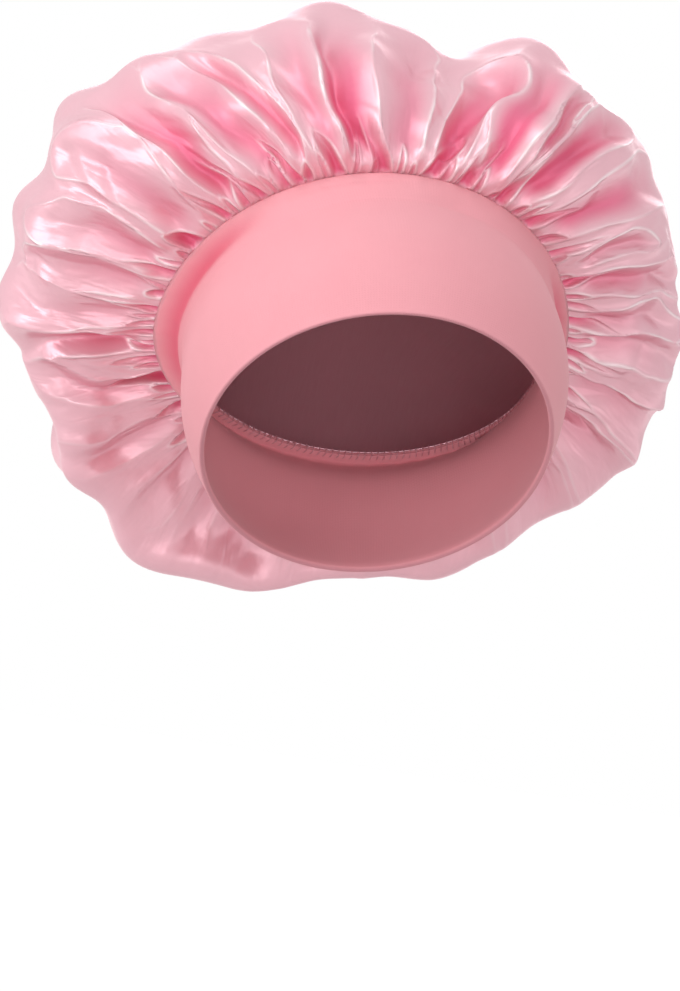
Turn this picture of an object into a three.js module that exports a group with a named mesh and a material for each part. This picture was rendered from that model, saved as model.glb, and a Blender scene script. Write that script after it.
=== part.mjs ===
// Satin sleep cap: a gathered satin crown sewn to a wide band of stretch knit, as worn.
// Millimetres and degrees. +Z is up, the wearer looks along -Y, and the origin is the centre of the
// head opening. The cap is built upright on its own axis and then leaned back as a whole.
import * as THREE from 'three';

// How the cap sits: the band's plane leans back from level by this angle.
const WEAR_TILT = 38;

// Head opening, at the band's folded lower edge.
const OPENING_HALF_WIDTH = 76;
const OPENING_FRONT_REACH = 87;
const OPENING_NAPE_REACH = 87;
const OPENING_SETBACK = 0;

// Seam ring, where the crown is sewn to the band.
const SEAM_HALF_WIDTH = 94;
const SEAM_FRONT_REACH = 84.5;
const SEAM_NAPE_REACH = 99.5;
const SEAM_SETBACK = 22.5;
const BAND_FRONT_HEIGHT = 85;
const BAND_NAPE_HEIGHT = 74;

// Band: one knit strip folded double along its length, with both raw edges turned in at the seam.
const KNIT_THICKNESS = 0.7;
const POCKET_WIDTH = 1.2;
const SEAM_ALLOWANCE = 10;
const HEAD_SWELL = 8;
const SWELL_TOP = 0.8;
const FLARE_POWER = 4;
const LAYER_GAP = 0.3;
const BAND_COLUMNS = 40;

// Crown: one circle of satin. Its widest ring leans back further than the band, as its weight pulls it.
const SATIN_THICKNESS = 0.8;
const CROWN_LEAN = 26;
const CROWN_HALF_WIDTH = 154;
const CROWN_HALF_LENGTH = 135;
const CROWN_SETBACK = 31;
const CROWN_RISE = 111;
const CROWN_DOME = 80;
const DOME_FULLNESS = 0.8;
const SEAM_PUFF = 95;
const CROWN_COLUMNS = 64;
const CROWN_ROWS = [-1, 0, 0.22, 0.46, 0.72, 1, 1.24, 1.5, 1.76];

// Main folds of the crown. Each runs from an angle on the seam to an angle on the widest ring,
// with its half width in degrees and its rise in millimetres. Zero is the front and 90 the right.
const FOLDS = [
  { seam: 352, widest: 355, half: 7, rise: -3 },
  { seam: 4, widest: 10, half: 9, rise: -8 },
  { seam: 22, widest: 24, half: 13, rise: 15 },
  { seam: 38, widest: 46, half: 9, rise: 5 },
  { seam: 46, widest: 62, half: 7, rise: 1 },
  { seam: 58, widest: 72, half: 8, rise: -4 },
  { seam: 72, widest: 88, half: 12, rise: 5 },
  { seam: 100, widest: 110, half: 12, rise: 4 },
  { seam: 124, widest: 130, half: 12, rise: -8 },
  { seam: 152, widest: 154, half: 12, rise: 5 },
  { seam: 180, widest: 182, half: 14, rise: 8 },
  { seam: 206, widest: 204, half: 15, rise: 18 },
  { seam: 224, widest: 223, half: 10, rise: 12 },
  { seam: 238, widest: 238, half: 7, rise: -4 },
  { seam: 250, widest: 244, half: 6, rise: -4 },
  { seam: 260, widest: 257, half: 10, rise: 9 },
  { seam: 286, widest: 276, half: 10, rise: 8 },
  { seam: 299, widest: 296, half: 13, rise: 13 },
  { seam: 313, widest: 310, half: 9, rise: 6 },
  { seam: 326, widest: 322, half: 7, rise: 2 },
  { seam: 341, widest: 343, half: 13, rise: 9 },
];

// Sewing thread, drawn coarser than the real one.
const THREAD_DIAMETER = 0.5;
const THREAD_CLEARANCE = 0.3;
const NEEDLE_LINE_INSET = 3;
const NEEDLE_STEPS = 120;
const OVERLOCK_STITCHES = 84;
const OVERLOCK_BITE = 3.2;
const JOIN_STITCHES = 14;
const JOIN_SWING = 1.2;
const JOIN_START = 0.06;
const JOIN_END = 0.86;

const rad = THREE.MathUtils.degToRad;
const smooth = THREE.MathUtils.smoothstep;
const mix = THREE.MathUtils.lerp;

const opening = {
  half: OPENING_HALF_WIDTH,
  front: OPENING_FRONT_REACH,
  nape: OPENING_NAPE_REACH,
  setback: OPENING_SETBACK,
};
const seam = {
  half: SEAM_HALF_WIDTH,
  front: SEAM_FRONT_REACH,
  nape: SEAM_NAPE_REACH,
  setback: SEAM_SETBACK,
};
// A point on an egg-shaped ring: two half ellipses that share their widest line.
function ringPoint(ring, angle) {
  const c = Math.cos(angle);
  const reach = c > 0 ? ring.front + ring.setback : ring.nape - ring.setback;
  return new THREE.Vector2(ring.half * Math.sin(angle), ring.setback - reach * c);
}

// The height of a ring that slopes evenly from the front to the nape.
function slopedHeight(frontHeight, napeHeight, angle) {
  return mix(napeHeight, frontHeight, (1 + Math.cos(angle)) / 2);
}

const seamHeight = (angle) => slopedHeight(BAND_FRONT_HEIGHT, BAND_NAPE_HEIGHT, angle);

// The level direction that points away from the seam ring's middle.
function outward(angle) {
  const p = ringPoint(seam, angle);
  return new THREE.Vector2(p.x, p.y - SEAM_SETBACK).normalize();
}

// Flat coordinates of a point in the upright plane at an angle: out from the axis, along the ring, up.
function inPlane(angle, plan, z) {
  const e = outward(angle);
  return { r: plan.dot(e), along: plan.x * -e.y + plan.y * e.x, z };
}

function fromPlane(angle, r, along, z) {
  const e = outward(angle);
  return new THREE.Vector3(e.x * r - e.y * along, e.y * r + e.x * along, z);
}

// The band's outer face, from 0 at the fold to 1 at the seam: it follows the head, then flares.
function bandFace(angle, s) {
  const flare = Math.pow(s, FLARE_POWER);
  const plan = ringPoint(opening, angle).lerp(ringPoint(seam, angle), flare);
  const swell = HEAD_SWELL * Math.sin(Math.PI * Math.min(1, s / SWELL_TOP));
  plan.addScaledVector(outward(angle), swell);
  return inPlane(angle, plan, s * seamHeight(angle));
}

// The band's face set in by a depth, square to the face in its upright plane.
function bandDepth(angle, s, depth) {
  const step = 0.004;
  const p = bandFace(angle, s);
  const a = bandFace(angle, s - step);
  const b = bandFace(angle, s + step);
  const length = Math.hypot(b.r - a.r, b.z - a.z);
  return { r: p.r - (depth * (b.z - a.z)) / length, along: p.along, z: p.z + (depth * (b.r - a.r)) / length };
}

// Where a line from p towards q meets a height.
function reachHeight(p, q, z) {
  const k = (z - p.z) / (q.z - p.z);
  return { r: mix(p.r, q.r, k), along: mix(p.along, q.along, k), z };
}

const OUTER_DEPTH = KNIT_THICKNESS / 2;
const POCKET_DEPTH = KNIT_THICKNESS + POCKET_WIDTH / 2;
const INNER_DEPTH = KNIT_THICKNESS * 1.5 + POCKET_WIDTH;
const PLY_STATIONS = [0.03, 0.28, 0.52, 0.74, 0.9];
const outerFlange = (angle) => seamHeight(angle) - KNIT_THICKNESS / 2;
const innerFlange = (angle) => outerFlange(angle) - KNIT_THICKNESS - LAYER_GAP;

// One ply from the fold up to its turned-in edge, as the middle line of the knit.
function plyLine(angle, depth, flangeHeight) {
  const line = PLY_STATIONS.map((s) => bandDepth(angle, s, depth));
  const low = line[line.length - 1];
  const tip = reachHeight(low, bandDepth(angle, 0.985, depth), flangeHeight);
  const end = bandFace(angle, 1).r - SEAM_ALLOWANCE;
  return [...line, tip, { r: end, along: tip.along, z: flangeHeight }];
}

// Gives a flat line its thickness, with mitred corners and square ends.
function thicken(line, thickness) {
  const left = [];
  const right = [];
  line.forEach((p, i) => {
    const before = line[Math.max(i - 1, 0)];
    const after = line[Math.min(i + 1, line.length - 1)];
    const n1 = new THREE.Vector2(-(p.z - before.z), p.r - before.r).normalize();
    const n2 = new THREE.Vector2(-(after.z - p.z), after.r - p.r).normalize();
    if (i === 0) n1.copy(n2);
    if (i === line.length - 1) n2.copy(n1);
    const m = n1.clone().add(n2).normalize();
    const reach = thickness / 2 / m.dot(n1);
    left.push({ r: p.r + m.x * reach, along: p.along, z: p.z + m.y * reach });
    right.push({ r: p.r - m.x * reach, along: p.along, z: p.z - m.y * reach });
  });
  return [...left, ...right.reverse()];
}

// The folded strip in one upright plane: down the inner ply, round the fold and up the outer ply.
function bandSection(angle) {
  const inner = plyLine(angle, INNER_DEPTH, innerFlange(angle)).reverse();
  const outer = plyLine(angle, OUTER_DEPTH, outerFlange(angle));
  const foot = bandDepth(angle, 0, POCKET_DEPTH);
  const fold = { r: foot.r, along: foot.along, z: KNIT_THICKNESS / 2 };
  return thicken([...inner, fold, ...outer], KNIT_THICKNESS);
}

// How far the main folds lift the crown at an angle and a height along it.
function foldRise(angle, t) {
  const grow = smooth(t, 0, 0.5) * (1 - smooth(t, 1.15, 1.9));
  let rise = 0;
  for (const fold of FOLDS) {
    const line = mix(fold.seam, fold.widest, Math.min(Math.max(t, 0), 1.3));
    const turn = THREE.MathUtils.euclideanModulo(THREE.MathUtils.radToDeg(angle) - line + 180, 360) - 180;
    if (Math.abs(turn) < fold.half) {
      rise += fold.rise * Math.pow(Math.cos((Math.PI / 2) * (turn / fold.half)), 2);
    }
  }
  return rise * grow;
}

// The crown's own axis and the middle of its widest ring.
const crownAxis = new THREE.Vector3(0, Math.sin(rad(CROWN_LEAN)), Math.cos(rad(CROWN_LEAN)));
const crownMiddle = new THREE.Vector3(0, CROWN_SETBACK, CROWN_RISE);
const crownApex = crownMiddle.clone().addScaledVector(crownAxis, CROWN_DOME);

function widestPoint(angle) {
  const forward = CROWN_HALF_LENGTH * Math.cos(angle);
  return new THREE.Vector3(CROWN_HALF_WIDTH * Math.sin(angle), -forward * crownAxis.z, forward * crownAxis.y)
    .add(crownMiddle);
}

// The crown's outer face: -1 to 0 is the turned-in edge, 1 is the widest ring and 2 the apex.
// It leaves the seam level, swells out to the widest ring and closes over in a dome.
function crownFace(angle, t) {
  const plan = ringPoint(seam, angle);
  const out = outward(angle);
  const low = seamHeight(angle) + LAYER_GAP;
  if (t <= 0) {
    plan.addScaledVector(out, t * SEAM_ALLOWANCE);
    return new THREE.Vector3(plan.x, plan.y, low);
  }
  const p = new THREE.Vector3();
  const wide = widestPoint(angle);
  if (t <= 1) {
    p.set(plan.x, plan.y, low).multiplyScalar(2 * t ** 3 - 3 * t ** 2 + 1);
    p.addScaledVector(new THREE.Vector3(out.x, out.y, 0), SEAM_PUFF * (t ** 3 - 2 * t ** 2 + t));
    p.addScaledVector(wide, 3 * t ** 2 - 2 * t ** 3);
    p.addScaledVector(crownAxis, SEAM_PUFF * (t ** 3 - t ** 2));
  } else {
    const turn = ((Math.min(t, 2) - 1) * Math.PI) / 2;
    p.copy(wide).lerp(crownMiddle, 1 - Math.pow(Math.max(Math.cos(turn), 0), DOME_FULLNESS));
    p.addScaledVector(crownAxis, CROWN_DOME * Math.sin(turn));
  }
  const away = p.clone().sub(crownMiddle).normalize();
  return p.addScaledVector(away, foldRise(angle, t));
}

// The crown's inner face: the outer face set in by the thickness of the satin.
function crownLining(angle, t) {
  const step = 0.02;
  const across = crownFace(angle + step, t).sub(crownFace(angle - step, t));
  const along = crownFace(angle, Math.min(t + step, 1.98)).sub(crownFace(angle, t - step));
  const normal = across.cross(along).normalize();
  return crownFace(angle, t).addScaledVector(normal, -SATIN_THICKNESS);
}

// Builds a mesh's geometry and turns its faces outwards.
function solid(points, triangles) {
  const position = new Float32Array(points.length * 3);
  points.forEach((p, i) => p.toArray(position, i * 3));
  let volume = 0;
  for (const [a, b, c] of triangles) {
    volume += points[a].dot(new THREE.Vector3().crossVectors(points[b], points[c]));
  }
  const index = triangles.flatMap(([a, b, c]) => (volume > 0 ? [a, b, c] : [a, c, b]));
  const geometry = new THREE.BufferGeometry();
  geometry.setAttribute('position', new THREE.BufferAttribute(position, 3));
  geometry.setIndex(index);
  geometry.computeVertexNormals();
  return geometry;
}

// Two triangles for every cell between neighbouring rings of points.
function bridge(first, second, count, triangles) {
  for (let j = 0; j < count; j++) {
    const k = (j + 1) % count;
    triangles.push([first + j, first + k, second + k], [first + j, second + k, second + j]);
  }
}

// A loft through closed sections that comes back to its first section.
function ringLoft(sections) {
  const count = sections[0].length;
  const triangles = [];
  sections.forEach((_, i) => bridge(i * count, ((i + 1) % sections.length) * count, count, triangles));
  return solid(sections.flat(), triangles);
}

// A thread along a path, as a square-sided tube. A closed path comes back to its start.
function thread(path, closed) {
  const sides = 4;
  const radius = THREAD_DIAMETER / 2;
  const last = path.length - 1;
  let side = null;
  const sections = path.map((p, i) => {
    const before = closed ? path[(i + last) % path.length] : path[Math.max(i - 1, 0)];
    const after = closed ? path[(i + 1) % path.length] : path[Math.min(i + 1, last)];
    const run = after.clone().sub(before).normalize();
    side = side ?? new THREE.Vector3(0, 0, 1);
    side = side.clone().addScaledVector(run, -side.dot(run)).normalize();
    const other = run.clone().cross(side);
    return Array.from({ length: sides }, (_, k) => {
      const turn = ((k + 0.5) * 2 * Math.PI) / sides;
      return p.clone().addScaledVector(side, Math.cos(turn) * radius).addScaledVector(other, Math.sin(turn) * radius);
    });
  });
  if (closed) return ringLoft(sections);
  const triangles = [];
  for (let i = 0; i < last; i++) bridge(i * sides, (i + 1) * sides, sides, triangles);
  const end = last * sides;
  triangles.push([0, 2, 1], [0, 3, 2], [end, end + 1, end + 2], [end, end + 2, end + 3]);
  return solid(sections.flat(), triangles);
}

const evenAngles = (count) => Array.from({ length: count }, (_, i) => (i * 2 * Math.PI) / count);

// Headband.
const bandSections = evenAngles(BAND_COLUMNS).map((angle) =>
  bandSection(angle).map((p) => fromPlane(angle, p.r, p.along, p.z)),
);
const headbandGeometry = ringLoft(bandSections);

// Crown panel: an outer and an inner face that meet at the cut edge, each closed at the apex.
const crownAngles = evenAngles(CROWN_COLUMNS);
const crownPoints = [];
const crownTriangles = [];
for (const face of [crownFace, crownLining]) {
  for (const t of CROWN_ROWS) {
    for (const angle of crownAngles) crownPoints.push(face(angle, t));
  }
}
const faceSize = CROWN_ROWS.length * CROWN_COLUMNS;
crownPoints.push(crownApex, crownApex.clone().addScaledVector(crownAxis, -SATIN_THICKNESS));
for (let i = 0; i < CROWN_ROWS.length - 1; i++) {
  bridge(i * CROWN_COLUMNS, (i + 1) * CROWN_COLUMNS, CROWN_COLUMNS, crownTriangles);
  bridge(faceSize + (i + 1) * CROWN_COLUMNS, faceSize + i * CROWN_COLUMNS, CROWN_COLUMNS, crownTriangles);
}
bridge(faceSize, 0, CROWN_COLUMNS, crownTriangles);
const topRow = faceSize - CROWN_COLUMNS;
for (let j = 0; j < CROWN_COLUMNS; j++) {
  const k = (j + 1) % CROWN_COLUMNS;
  crownTriangles.push([topRow + j, topRow + k, 2 * faceSize]);
  crownTriangles.push([faceSize + topRow + k, faceSize + topRow + j, 2 * faceSize + 1]);
}
const crownGeometry = solid(crownPoints, crownTriangles);

// Needle thread: lies on the crown's turned-in edge, just inside the seam.
const threadLift = THREAD_CLEARANCE + THREAD_DIAMETER / 2;
const stackTop = (angle) => seamHeight(angle) + LAYER_GAP + SATIN_THICKNESS + threadLift;
const stackBottom = (angle) => innerFlange(angle) - KNIT_THICKNESS / 2 - threadLift;
function insideSeam(angle, inset, z) {
  const s = ringPoint(seam, angle);
  s.addScaledVector(outward(angle), -inset);
  return new THREE.Vector3(s.x, s.y, z);
}
const needlePath = evenAngles(NEEDLE_STEPS).map((angle) => insideSeam(angle, NEEDLE_LINE_INSET, stackTop(angle)));
const needleGeometry = thread(needlePath, true);

// Overlock thread: swings from the top of the three raw edges, round their ends, to the underside.
// The band's straight facets dip inside its true curve, so the thread passes that much further out.
const facetDip = (SEAM_FRONT_REACH + SEAM_SETBACK) * (1 - Math.cos(Math.PI / BAND_COLUMNS));
const overlockPath = [];
for (const angle of evenAngles(OVERLOCK_STITCHES)) {
  const step = (2 * Math.PI) / OVERLOCK_STITCHES;
  const deep = SEAM_ALLOWANCE - OVERLOCK_BITE;
  const past = SEAM_ALLOWANCE + threadLift + facetDip;
  const swing = [
    [0, deep, stackTop],
    [0.2, past, stackTop],
    [0.3, past, stackBottom],
    [0.5, deep, stackBottom],
    [0.7, past, stackBottom],
    [0.8, past, stackTop],
  ];
  for (const [part, inset, height] of swing) {
    const a = angle + part * step;
    overlockPath.push(insideSeam(a, inset, height(a)));
  }
}
const overlockGeometry = thread(overlockPath, true);

// Join thread: zigzags up the pocket between the plies, where the strip's two ends are sewn at the nape.
const joinLine = [0, ...PLY_STATIONS].map((s) => bandDepth(Math.PI, s, POCKET_DEPTH));
function joinPoint(s, swing) {
  const stations = [0, ...PLY_STATIONS];
  const i = Math.min(stations.findLastIndex((v) => v <= s), stations.length - 2);
  const k = (s - stations[i]) / (stations[i + 1] - stations[i]);
  const a = joinLine[i];
  const b = joinLine[i + 1];
  return fromPlane(Math.PI, mix(a.r, b.r, k), mix(a.along, b.along, k) + swing, mix(a.z, b.z, k));
}
const joinPath = Array.from({ length: 2 * JOIN_STITCHES + 1 }, (_, i) =>
  joinPoint(mix(JOIN_START, JOIN_END, i / (2 * JOIN_STITCHES)), i % 2 ? JOIN_SWING : -JOIN_SWING),
);
const joinGeometry = thread(joinPath, false);

const satin = { color: 0xf0b4c0, roughness: 0.35, metalness: 0, side: THREE.DoubleSide };
const knit = { color: 0xfcb9c1, roughness: 0.9, metalness: 0 };
const spun = { color: 0xe6a0ae, roughness: 0.7, metalness: 0 };
const pieces = [
  ['headband', headbandGeometry, knit],
  ['crown_panel', crownGeometry, satin],
  ['seam_needle_thread', needleGeometry, spun],
  ['seam_overlock_thread', overlockGeometry, spun],
  ['band_join_thread', joinGeometry, spun],
];

const group = new THREE.Group();
group.rotation.x = -rad(WEAR_TILT);
for (const [name, geometry, finish] of pieces) {
  const mesh = new THREE.Mesh(geometry, new THREE.MeshStandardMaterial(finish));
  mesh.name = name;
  group.add(mesh);
}

export default group;
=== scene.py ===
import math

import bpy
import numpy as np
from mathutils import Matrix, Vector


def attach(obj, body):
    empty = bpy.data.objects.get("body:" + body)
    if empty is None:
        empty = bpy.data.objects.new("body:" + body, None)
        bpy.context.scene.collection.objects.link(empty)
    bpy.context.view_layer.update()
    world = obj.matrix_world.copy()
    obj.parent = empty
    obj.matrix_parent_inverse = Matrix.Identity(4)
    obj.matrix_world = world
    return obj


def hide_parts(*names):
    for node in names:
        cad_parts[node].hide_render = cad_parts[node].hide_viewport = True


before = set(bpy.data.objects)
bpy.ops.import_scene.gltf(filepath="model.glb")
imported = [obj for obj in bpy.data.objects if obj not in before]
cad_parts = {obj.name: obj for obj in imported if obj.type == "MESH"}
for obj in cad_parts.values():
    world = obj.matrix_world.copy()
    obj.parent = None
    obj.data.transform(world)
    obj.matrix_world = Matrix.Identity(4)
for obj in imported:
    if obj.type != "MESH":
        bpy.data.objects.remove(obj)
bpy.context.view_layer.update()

# Camera: a long lens a little below the cap's middle, turned to its left and rolled with its tilt.
# The three angles, the distance and the offset place the band's two edges as the photograph shows them.
IMAGE_HEIGHT = 991
VIEW_AZIMUTH = math.radians(-12.7)
VIEW_ELEVATION = math.radians(-3.0)
VIEW_ROLL = math.radians(9.2)
VIEW_DISTANCE = 1.6
VIEW_OFFSET = (0.0157, 0.0204)
PIXELS_PER_METRE = 2300
SENSOR = 36

view_back = Vector((
    math.sin(VIEW_AZIMUTH) * math.cos(VIEW_ELEVATION),
    -math.cos(VIEW_AZIMUTH) * math.cos(VIEW_ELEVATION),
    math.sin(VIEW_ELEVATION),
))
level_right = Vector((math.cos(VIEW_AZIMUTH), math.sin(VIEW_AZIMUTH), 0))
level_up = view_back.cross(level_right)
view_right = level_right * math.cos(VIEW_ROLL) + level_up * math.sin(VIEW_ROLL)
view_up = level_up * math.cos(VIEW_ROLL) - level_right * math.sin(VIEW_ROLL)
view_place = view_back * VIEW_DISTANCE - view_right * VIEW_OFFSET[0] - view_up * VIEW_OFFSET[1]

camera_data = bpy.data.cameras.new("camera")
camera_data.sensor_width = SENSOR
camera_data.lens = SENSOR * PIXELS_PER_METRE * VIEW_DISTANCE / IMAGE_HEIGHT
camera_data.clip_start = 0.05
camera_data.clip_end = 50
camera = bpy.data.objects.new("camera", camera_data)
camera.matrix_world = Matrix((
    (view_right.x, view_up.x, view_back.x, view_place.x),
    (view_right.y, view_up.y, view_back.y, view_place.y),
    (view_right.z, view_up.z, view_back.z, view_place.z),
    (0, 0, 0, 1),
))
bpy.context.scene.collection.objects.link(camera)
bpy.context.scene.camera = camera

# Headband: one strip of fine stretch knit, folded double along its length with the fold at the opening.
# It swells a little, then flares where the full crown pulls on it. Both raw edges turn in at the seam.
# Shapes are in millimetres on the upright cap, patterns in metres, and angles start at the front.
WEAR_TILT = math.radians(38)
OPENING_HALF_WIDTH = 76
OPENING_REACH = 87
SEAM_HALF_WIDTH = 94
SEAM_FRONT_REACH = 84.5
SEAM_NAPE_REACH = 99.5
SEAM_SETBACK = 22.5
BAND_FRONT_HEIGHT = 85
BAND_NAPE_HEIGHT = 74
KNIT_THICKNESS = 0.7
POCKET_WIDTH = 1.2
SEAM_ALLOWANCE = 10
HEAD_SWELL = 8
SWELL_TOP = 0.8
FLARE_POWER = 4
BAND_COLUMNS = 360
KNIT_PINK = "#f7a8b2"
KNIT_MOTTLE = "#f9adb6"
# The next two colours are painted shade: a deeper pink in the side valleys just below the seam, and a dark
# mauve line along the fold at the opening.
KNIT_VALLEY_SHADE = "#ec6880"
KNIT_FOLD_SHADE = "#c98792"
WAVE_PERIOD = math.pi / 10
WALE_PITCH = 0.0013
COURSE_PITCH = 0.0010
MOTTLE_SIZE = 0.0182
SIDE_VALLEY = 4.0
VALLEY_BELOW = 6.5
VALLEY_HEIGHT = 4.5
# How strongly the side valleys take their painted shade.
VALLEY_SHADE_SHARE = 0.9
TOP_DENT = 1.4
TOP_DENT_BELOW = 13
TOP_DENT_HEIGHT = 6
CREASE_DEPTH = 0.5
CREASE_BELOW = 5
CREASE_HEIGHT = 1.3
PULL_DEPTH = 0.16
PULL_BELOW = 1
PULL_HEIGHT = 6
# How strongly the fold at the opening takes its painted shade.
FOLD_SHADE_SHARE = 0.75
FOLD_END = 0.015
PLY_GAP = 0.3
EDGE_ROUND = 0.5

# Pulls of the seam on the knit: how many go round, where they start and their share.
PULLS = ((41, 1, 1), (67, 2.2, 0.7))


def as_worn(points):
    """Turns upright cap millimetres into metres on the leaning cap."""
    points = np.asarray(points, float)
    lean_cos, lean_sin = math.cos(WEAR_TILT), math.sin(WEAR_TILT)
    x, y, z = points[..., 0], points[..., 1], points[..., 2]
    return np.stack([x, y * lean_cos + z * lean_sin, z * lean_cos - y * lean_sin], -1) / 1000


def ease(x, low, high):
    x = np.clip((np.asarray(x, float) - low) / (high - low), 0, 1)
    return x * x * (3 - 2 * x)


def hump(x, middle, spread):
    return np.exp(-((x - middle) / spread) ** 2)


def egg_ring(turn, half_width, front_reach, nape_reach, setback):
    """Points on a level ring made of two half ellipses. Zero turn is the front."""
    reach = np.where(np.cos(turn) > 0, front_reach + setback, nape_reach - setback)
    return np.stack([half_width * np.sin(turn), setback - reach * np.cos(turn)], -1)


def seam_ring(turn):
    return egg_ring(turn, SEAM_HALF_WIDTH, SEAM_FRONT_REACH, SEAM_NAPE_REACH, SEAM_SETBACK)


def seam_height(turn):
    return BAND_NAPE_HEIGHT + (BAND_FRONT_HEIGHT - BAND_NAPE_HEIGHT) * (1 + np.cos(turn)) / 2


def outward(turn):
    """The level direction away from the middle of the seam ring."""
    ring = seam_ring(turn) - np.array([0, SEAM_SETBACK])
    return ring / np.linalg.norm(ring, axis=-1, keepdims=True)


def side_valley(turn, below_seam):
    """Share of the hollow that the flare makes just below the seam on each side."""
    return ease(np.abs(np.sin(turn)), 0.70, 0.96) * hump(below_seam, VALLEY_BELOW, VALLEY_HEIGHT)


def band_dents(turn, s):
    """How far the knit is pressed in: side valleys, a dent, a crease and the seam's pulls."""
    degrees = (np.degrees(turn) + 180) % 360 - 180
    below_seam = (1 - s) * seam_height(turn)
    dents = SIDE_VALLEY * side_valley(turn, below_seam)
    dents = dents + TOP_DENT * hump(degrees, 9, 8) * hump(below_seam, TOP_DENT_BELOW, TOP_DENT_HEIGHT)
    crease = CREASE_DEPTH * hump(below_seam, CREASE_BELOW, CREASE_HEIGHT)
    dents = dents + crease * ease(degrees, -45, -30) * (1 - ease(degrees, -12, -2))
    pulls = sum(share * np.sin(count * turn + start) for count, start, share in PULLS)
    return dents + PULL_DEPTH * pulls * hump(below_seam, PULL_BELOW, PULL_HEIGHT)


def band_face(turn, s):
    """The band's outer face, from 0 at the fold to 1 at the seam."""
    low = egg_ring(turn, OPENING_HALF_WIDTH, OPENING_REACH, OPENING_REACH, 0)
    flare = (s ** FLARE_POWER)[..., None]
    plan = low * (1 - flare) + seam_ring(turn) * flare
    swell = HEAD_SWELL * np.sin(np.pi * np.clip(s / SWELL_TOP, 0, 1))
    plan = plan + outward(turn) * (swell - band_dents(turn, s))[..., None]
    return np.concatenate([plan, (s * seam_height(turn))[..., None]], -1)


def band_layer(turn, s, depth):
    """The band's face set in by a depth, square to the face."""
    step = 0.004
    rise = band_face(turn, s + step) - band_face(turn, s - step)
    out = np.concatenate([outward(turn), np.zeros(turn.shape + (1,))], -1)
    run = (rise * out).sum(-1)
    length = np.hypot(run, rise[..., 2])
    inwards = -out * (rise[..., 2] / length)[..., None]
    inwards[..., 2] += run / length
    return band_face(turn, s) + inwards * np.asarray(depth)[..., None]


def add_piece(name, mesh, *materials):
    piece = bpy.data.objects.new(name, mesh)
    bpy.context.scene.collection.objects.link(piece)
    for material in materials:
        mesh.materials.append(material)
    return piece


def linear(hex_colour):
    """An sRGB hex colour as linear RGBA."""
    parts = [int(hex_colour[i:i + 2], 16) / 255 for i in (1, 3, 5)]
    return tuple(v / 12.92 if v <= 0.04045 else ((v + 0.055) / 1.055) ** 2.4 for v in parts) + (1,)


def node(owner, kind, settings, links=None):
    """Adds one node with its settings and links to a material, a world or a node group."""
    tree = getattr(owner, "node_tree", owner)
    made = tree.nodes.new(kind)
    for key, value in settings.items():
        if isinstance(key, str) and hasattr(made, key):
            setattr(made, key, value)
        else:
            made.inputs[key].default_value = linear(value) if str(value).startswith("#") else value
    for key, source in (links or {}).items():
        tree.links.new(source, made.inputs[key])
    return made


def new_material(name):
    material = bpy.data.materials.new(name)
    material.use_nodes = True
    material.node_tree.nodes.clear()
    return material


# Fine cotton and elastane jersey: matt and even, with a soft bloom where it turns away, and rows of stitches
# too small to tell apart. Their ribs, really about 0.6 mm, are drawn twice as coarse so that a trace shows.
knit = new_material("fine_stretch_knit")
knit_flat = node(knit, "ShaderNodeUVMap", {"uv_map": "cloth"})
knit_ribs = [
    node(knit, "ShaderNodeTexWave", {
        "bands_direction": axis, "Scale": WAVE_PERIOD / pitch, "Distortion": 0.6, "Detail": 1.0,
    }, {"Vector": knit_flat.outputs[0]})
    for axis, pitch in (("X", WALE_PITCH), ("Y", COURSE_PITCH))
]
knit_relief = node(knit, "ShaderNodeMath", {"operation": "MULTIPLY"},
                   {0: knit_ribs[0].outputs["Fac"], 1: knit_ribs[1].outputs["Fac"]})
knit_bump = node(knit, "ShaderNodeBump", {"Strength": 0.18, "Distance": 0.0003},
                 {"Height": knit_relief.outputs[0]})
knit_cloud = node(knit, "ShaderNodeTexNoise", {"Scale": 1 / MOTTLE_SIZE, "Detail": 3.0},
                  {"Vector": knit_flat.outputs[0]})
# Painted shade: the knit turns a deeper pink in the side valleys and a darker mauve along the fold at the
# opening, where less light reaches.
knit_valley_shade = node(knit, "ShaderNodeAttribute", {"attribute_name": "valley"})
knit_fold_shade = node(knit, "ShaderNodeAttribute", {"attribute_name": "fold"})
knit_even = node(knit, "ShaderNodeMix", {"data_type": "RGBA", 6: KNIT_PINK, 7: KNIT_MOTTLE},
                 {0: knit_cloud.outputs["Fac"]})
knit_valley_shaded = node(knit, "ShaderNodeMix", {"data_type": "RGBA", 7: KNIT_VALLEY_SHADE},
                   {0: knit_valley_shade.outputs["Fac"], 6: knit_even.outputs[2]})
knit_colour = node(knit, "ShaderNodeMix", {"data_type": "RGBA", 7: KNIT_FOLD_SHADE},
                   {0: knit_fold_shade.outputs["Fac"], 6: knit_valley_shaded.outputs[2]})
knit_shader = node(knit, "ShaderNodeBsdfPrincipled", {
    "Roughness": 0.85, "Specular IOR Level": 0.2, "Sheen Weight": 0.2, "Sheen Roughness": 0.5,
}, {"Base Color": knit_colour.outputs[2], "Normal": knit_bump.outputs[0]})
node(knit, "ShaderNodeOutputMaterial", {}, {"Surface": knit_shader.outputs[0]})

band_turn = np.pi + np.arange(BAND_COLUMNS) * 2 * np.pi / BAND_COLUMNS
OUTER_DEPTH = KNIT_THICKNESS / 2
INNER_DEPTH = KNIT_THICKNESS * 1.5 + POCKET_WIDTH
outer_s = np.concatenate([np.linspace(FOLD_END, 0.80, 26), np.linspace(0.812, 0.988, 18)])
inner_s = np.linspace(FOLD_END, 0.955, 20)
outer_drop = KNIT_THICKNESS / 2
inner_drop = outer_drop + KNIT_THICKNESS + PLY_GAP
fold_reach = (INNER_DEPTH - OUTER_DEPTH) / 2
strip_rows, valley_shade_rows, fold_shade_rows = [], [], []


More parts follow.
